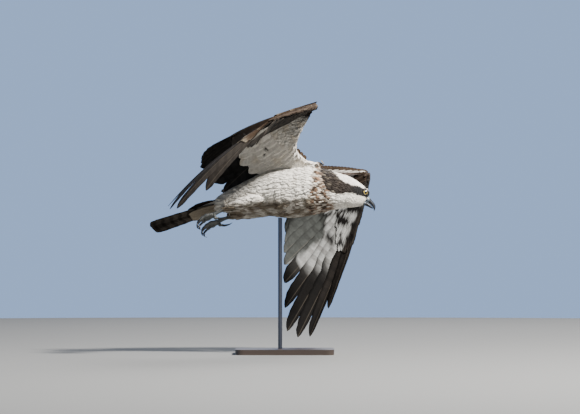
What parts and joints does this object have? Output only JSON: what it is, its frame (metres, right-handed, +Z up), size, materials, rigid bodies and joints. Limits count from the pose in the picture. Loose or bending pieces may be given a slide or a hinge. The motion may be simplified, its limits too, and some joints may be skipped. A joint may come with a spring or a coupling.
{
  "type": "osprey model on a stand",
  "caption": "Life-size still model of an osprey banking in flight, held over a flat base by one rod.",
  "frame": {"origin": "centre of the underside of the stand's base, on the floor", "axes": "+Z up; the bird heads along +X, turned 15 degrees towards -Y, and banks 28 degrees to its left"},
  "size_m": [0.5988, 0.4717, 0.6592],
  "materials": {
    "plumage_white": "soft matt feather, white with brown flecks",
    "plumage_brown": "matt feather, dark brown",
    "bill_horn": "satin horn, black with a blue-grey base",
    "eye": "polished, yellow with a black pupil",
    "leg_skin": "matt scaly skin, pale grey",
    "claw_horn": "satin black horn",
    "stand_metal": "satin dark grey",
    "stand_base": "satin, stained nearly black"
  },
  "bodies": {
    "root": {"rump": "plumage_white", "torso": "plumage_white", "neck": "plumage_white", "head": "plumage_white", "bill_upper": "bill_horn", "bill_lower": "bill_horn", "eye_left": "eye", "eye_right": "eye", "wing_right_hand": "plumage_brown", "wing_right_arm": "plumage_brown", "wing_left_hand": "plumage_brown", "wing_left_arm": "plumage_brown", "tail": "plumage_brown", "thigh_left": "plumage_white", "tarsus_left": "leg_skin", "foot_left": "leg_skin", "claw_left_hind": "claw_horn", "claw_left_inner": "claw_horn", "claw_left_middle": "claw_horn", "claw_left_outer": "claw_horn", "thigh_right": "plumage_white", "tarsus_right": "leg_skin", "foot_right": "leg_skin", "claw_right_hind": "claw_horn", "claw_right_inner": "claw_horn", "claw_right_middle": "claw_horn", "claw_right_outer": "claw_horn", "stand_base": "stand_base", "stand_rod": "stand_metal"}
  },
  "joints": []
}
